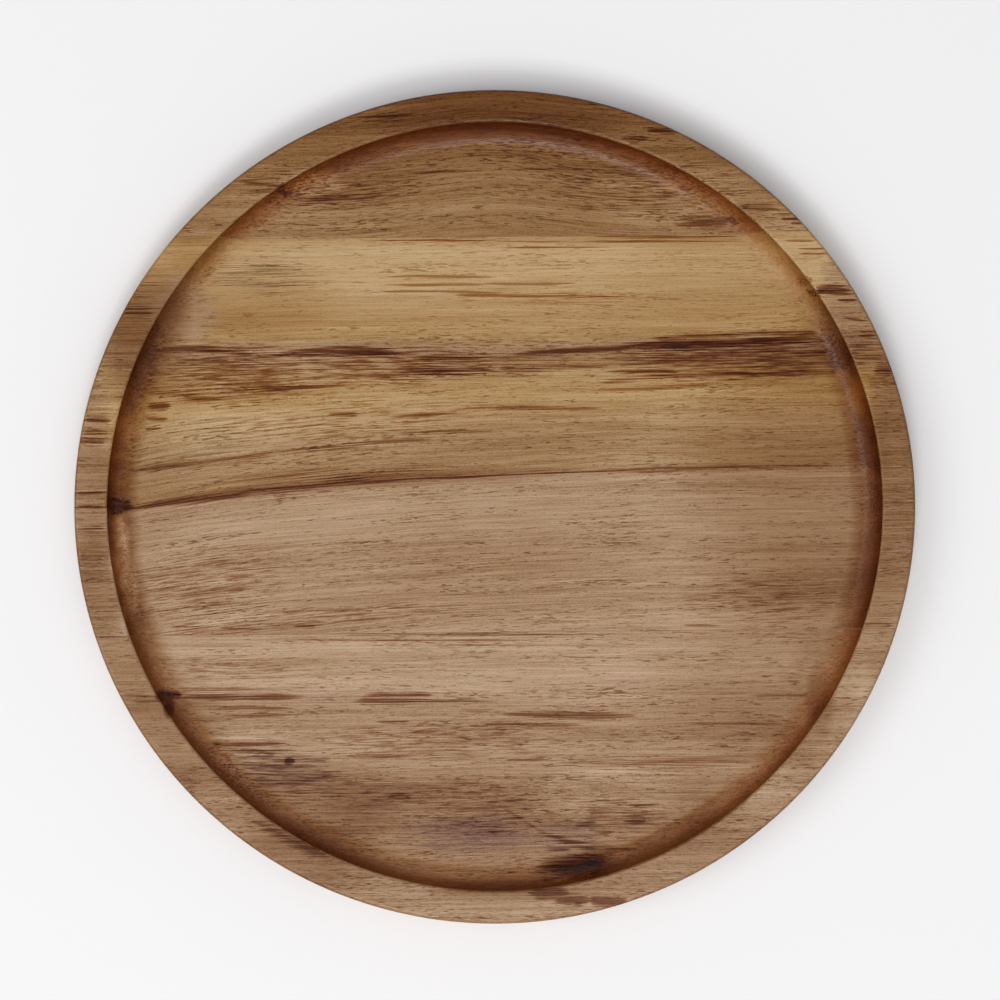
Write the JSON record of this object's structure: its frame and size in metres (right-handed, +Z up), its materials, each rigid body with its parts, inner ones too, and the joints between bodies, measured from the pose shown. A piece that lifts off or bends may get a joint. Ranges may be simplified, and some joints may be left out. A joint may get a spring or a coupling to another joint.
{
  "type": "wooden tray",
  "caption": "Round wooden serving tray of edge-glued boards, with a raised flat-topped rim and a shallow recess that has a coved edge.",
  "frame": {"origin": "centre of the underside, where the tray's axis meets the surface that it stands on", "axes": "+Z up along the tray's axis, +X along the grain of the boards, +Y across the boards towards the narrow dark board"},
  "size_m": [0.305, 0.3026, 0.019],
  "materials": {
    "rear_wood": "oiled dark red-brown acacia, satin",
    "middle_wood": "oiled golden and tan acacia, satin",
    "front_wood": "oiled tan acacia with purple-brown figure, satin",
    "glue": "cured wood glue, sanded flush"
  },
  "bodies": {
    "root": {"rear_board": "rear_wood", "rear_glue_line": "glue", "middle_board": "middle_wood", "front_glue_line": "glue", "front_board": "front_wood"}
  },
  "joints": []
}
